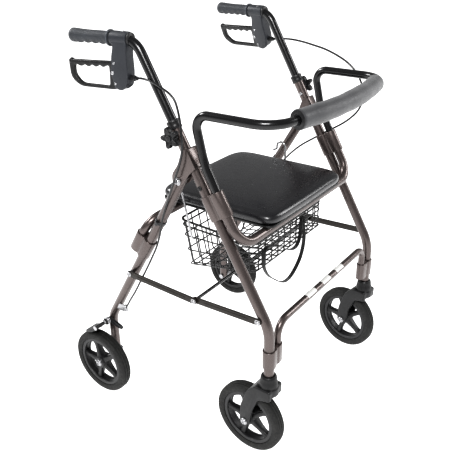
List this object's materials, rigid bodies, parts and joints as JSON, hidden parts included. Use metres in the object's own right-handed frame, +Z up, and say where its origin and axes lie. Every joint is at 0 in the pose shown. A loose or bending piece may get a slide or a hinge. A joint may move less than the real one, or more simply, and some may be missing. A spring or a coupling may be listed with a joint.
{
  "type": "rollator walker",
  "caption": "Folding rollator walker with a padded flip-up seat, padded bow backrest, under-seat wire basket, swivelling front casters, loop brake levers and height-adjustable handles.",
  "frame": {"origin": "on the floor under the middle of the bounding box", "axes": "+Z up, -Y towards the casters and the backrest, +Y towards the user, +X to the left of a user who pushes it"},
  "size_m": [0.646, 0.637, 0.9533],
  "materials": {
    "frame_metal": "bronze metallic paint, satin gloss",
    "black_tube": "black gloss paint",
    "brace_metal": "black satin paint",
    "bright_metal": "bright plating",
    "basket_wire": "black powder coat",
    "black_plastic": "fine-grained black",
    "slate_plastic": "satin slate grey",
    "grip_rubber": "soft dark grey rubber",
    "tyre": "matte solid tyre",
    "vinyl": "black upholstery vinyl, satin",
    "foam": "dark grey foam with a satin skin",
    "webbing": "flat black woven webbing",
    "cable_sheath": "black cable sheath"
  },
  "bodies": {
    "front_frame": {"front_leg_left": "frame_metal", "front_leg_right": "frame_metal", "leg_collar_left": "black_plastic", "leg_collar_right": "black_plastic", "hinge_bracket_left": "frame_metal", "hinge_bracket_right": "frame_metal", "hinge_bolt_left": "bright_metal", "hinge_bolt_right": "bright_metal", "front_sleeve_left": "frame_metal", "front_sleeve_right": "frame_metal", "lower_clamp_left": "frame_metal", "lower_clamp_right": "frame_metal", "brake_cable_left": "cable_sheath", "brake_cable_right": "cable_sheath", "seat_support_tube": "frame_metal", "lower_cross_tube": "frame_metal"},
    "rear_frame": {"rear_leg_left": "frame_metal", "rear_leg_right": "frame_metal", "rear_sleeve_left": "frame_metal", "rear_sleeve_right": "frame_metal", "rear_axle_left": "bright_metal", "rear_axle_right": "bright_metal", "rear_cross_tube": "frame_metal"},
    "front_braces": {"brace_front_left": "brace_metal", "brace_front_right": "brace_metal", "cross_rod": "black_tube"},
    "rear_braces": {"brace_rear_left": "brace_metal", "brace_rear_right": "brace_metal"},
    "basket_unit": {"basket": "basket_wire", "pull_strap": "webbing", "bag_hook_left": "bright_metal", "bag_hook_right": "bright_metal"},
    "seat": {"seat_base": "black_plastic", "seat_pad": "vinyl"},
    "backrest": {"backrest_tube": "black_tube", "backrest_pad": "foam"},
    "handle_left": {"handle_tube_left": "black_tube", "grip_left": "grip_rubber", "brake_housing_left": "slate_plastic"},
    "knob_left": {"height_knob_left": "black_plastic"},
    "lever_left": {"brake_lever_left": "black_plastic"},
    "shoe_left": {"brake_shoe_left": "black_plastic"},
    "rear_wheel_left": {"rear_tyre_left": "tyre", "rear_rim_left": "black_plastic"},
    "caster_left": {"caster_fork_left": "black_plastic", "caster_axle_left": "bright_metal"},
    "caster_wheel_left": {"caster_tyre_left": "tyre", "caster_rim_left": "black_plastic"},
    "handle_right": {"handle_tube_right": "black_tube", "grip_right": "grip_rubber", "brake_housing_right": "slate_plastic"},
    "knob_right": {"height_knob_right": "black_plastic"},
    "lever_right": {"brake_lever_right": "black_plastic"},
    "shoe_right": {"brake_shoe_right": "black_plastic"},
    "rear_wheel_right": {"rear_tyre_right": "tyre", "rear_rim_right": "black_plastic"},
    "caster_right": {"caster_fork_right": "black_plastic", "caster_axle_right": "bright_metal"},
    "caster_wheel_right": {"caster_tyre_right": "tyre", "caster_rim_right": "black_plastic"}
  },
  "joints": [
    {"name": "frame_fold", "type": "hinge", "parent": "front_frame", "child": "rear_frame", "pos_m": [0, -0.0415, 0.655], "axis": [-1, 0, 0], "range_deg": [0, 30], "deforming": ["brake_cable_left", "brake_cable_right"]},
    {"name": "front_brace_swing", "type": "hinge", "parent": "front_frame", "child": "front_braces", "pos_m": [0, -0.2455, 0.377], "axis": [-1, 0, 0], "range_deg": [0, 72]},
    {"name": "rear_brace_swing", "type": "hinge", "parent": "rear_frame", "child": "rear_braces", "pos_m": [0, 0.1265, 0.377], "axis": [1, 0, 0], "range_deg": [0, 64]},
    {"name": "basket_slide", "type": "slide", "parent": "front_frame", "child": "basket_unit", "axis": [0, -1, 0], "range_m": [0, 0.0905], "deforming": ["pull_strap"]},
    {"name": "seat_flip", "type": "hinge", "parent": "front_frame", "child": "seat", "pos_m": [0, -0.1945, 0.535], "axis": [1, 0, 0], "range_deg": [0, 88]},
    {"name": "backrest_lift", "type": "slide", "parent": "front_frame", "child": "backrest", "axis": [0, 0.4932, 0.8699], "range_m": [0, 0.06]},
    {"name": "handle_height_left", "type": "slide", "parent": "front_frame", "child": "handle_left", "axis": [0, 0.4932, 0.8699], "range_m": [-0.075, 0.05], "deforming": ["brake_cable_left"]},
    {"name": "knob_turn_left", "type": "hinge", "parent": "front_frame", "child": "knob_left", "pos_m": [0.275, -0.0386, 0.7532], "axis": [1, 0, 0], "continuous": true},
    {"name": "brake_squeeze_left", "type": "hinge", "parent": "handle_left", "child": "lever_left", "pos_m": [0.28193, 0.11881, 0.8711], "axis": [0.9223, -0.0954, 0.3746], "range_deg": [0, 10.8], "stiffness_Nm_per_rad": 1, "springref_deg": -20.05},
    {"name": "shoe_press_left", "type": "hinge", "parent": "rear_frame", "child": "shoe_left", "pos_m": [0.275, 0.2255, 0.203], "axis": [-1, 0, 0], "range_deg": [0, 5.6]},
    {"name": "rear_wheel_spin_left", "type": "hinge", "parent": "rear_frame", "child": "rear_wheel_left", "pos_m": [0.301, 0.2285, 0.09], "axis": [1, 0, 0], "continuous": true},
    {"name": "caster_swivel_left", "type": "hinge", "parent": "front_frame", "child": "caster_left", "pos_m": [0.25, -0.2655, 0.2], "axis": [0, 0, 1], "continuous": true},
    {"name": "caster_wheel_spin_left", "type": "hinge", "parent": "caster_left", "child": "caster_wheel_left", "pos_m": [0.25762, -0.21507, 0.09], "axis": [0.9888, -0.1494, 0], "continuous": true},
    {"name": "handle_height_right", "type": "slide", "parent": "front_frame", "child": "handle_right", "axis": [0, 0.4932, 0.8699], "range_m": [-0.075, 0.05], "deforming": ["brake_cable_right"]},
    {"name": "knob_turn_right", "type": "hinge", "parent": "front_frame", "child": "knob_right", "pos_m": [-0.275, -0.0386, 0.7532], "axis": [-1, 0, 0], "continuous": true},
    {"name": "brake_squeeze_right", "type": "hinge", "parent": "handle_right", "child": "lever_right", "pos_m": [-0.25583, 0.12151, 0.866], "axis": [0.9947, 0.1028, 0], "range_deg": [0, 10.8], "stiffness_Nm_per_rad": 1, "springref_deg": -20.05},
    {"name": "shoe_press_right", "type": "hinge", "parent": "rear_frame", "child": "shoe_right", "pos_m": [-0.275, 0.2255, 0.203], "axis": [-1, 0, 0], "range_deg": [0, 5.6]},
    {"name": "rear_wheel_spin_right", "type": "hinge", "parent": "rear_frame", "child": "rear_wheel_right", "pos_m": [-0.301, 0.2285, 0.09], "axis": [1, 0, 0], "continuous": true},
    {"name": "caster_swivel_right", "type": "hinge", "parent": "front_frame", "child": "caster_right", "pos_m": [-0.25, -0.2655, 0.2], "axis": [0, 0, 1], "continuous": true},
    {"name": "caster_wheel_spin_right", "type": "hinge", "parent": "caster_right", "child": "caster_wheel_right", "pos_m": [-0.24821, -0.21453, 0.09], "axis": [0.9994, -0.035, 0], "continuous": true}
  ],
  "couplings": [
    {"joint": "front_brace_swing", "follows": "frame_fold", "ratio": 2.4},
    {"joint": "rear_brace_swing", "follows": "frame_fold", "ratio": 2.13},
    {"joint": "basket_slide", "follows": "frame_fold", "m_per_rad": 0.1718},
    {"joint": "shoe_press_left", "follows": "brake_squeeze_left", "ratio": 0.5},
    {"joint": "shoe_press_right", "follows": "brake_squeeze_right", "ratio": 0.5}
  ]
}
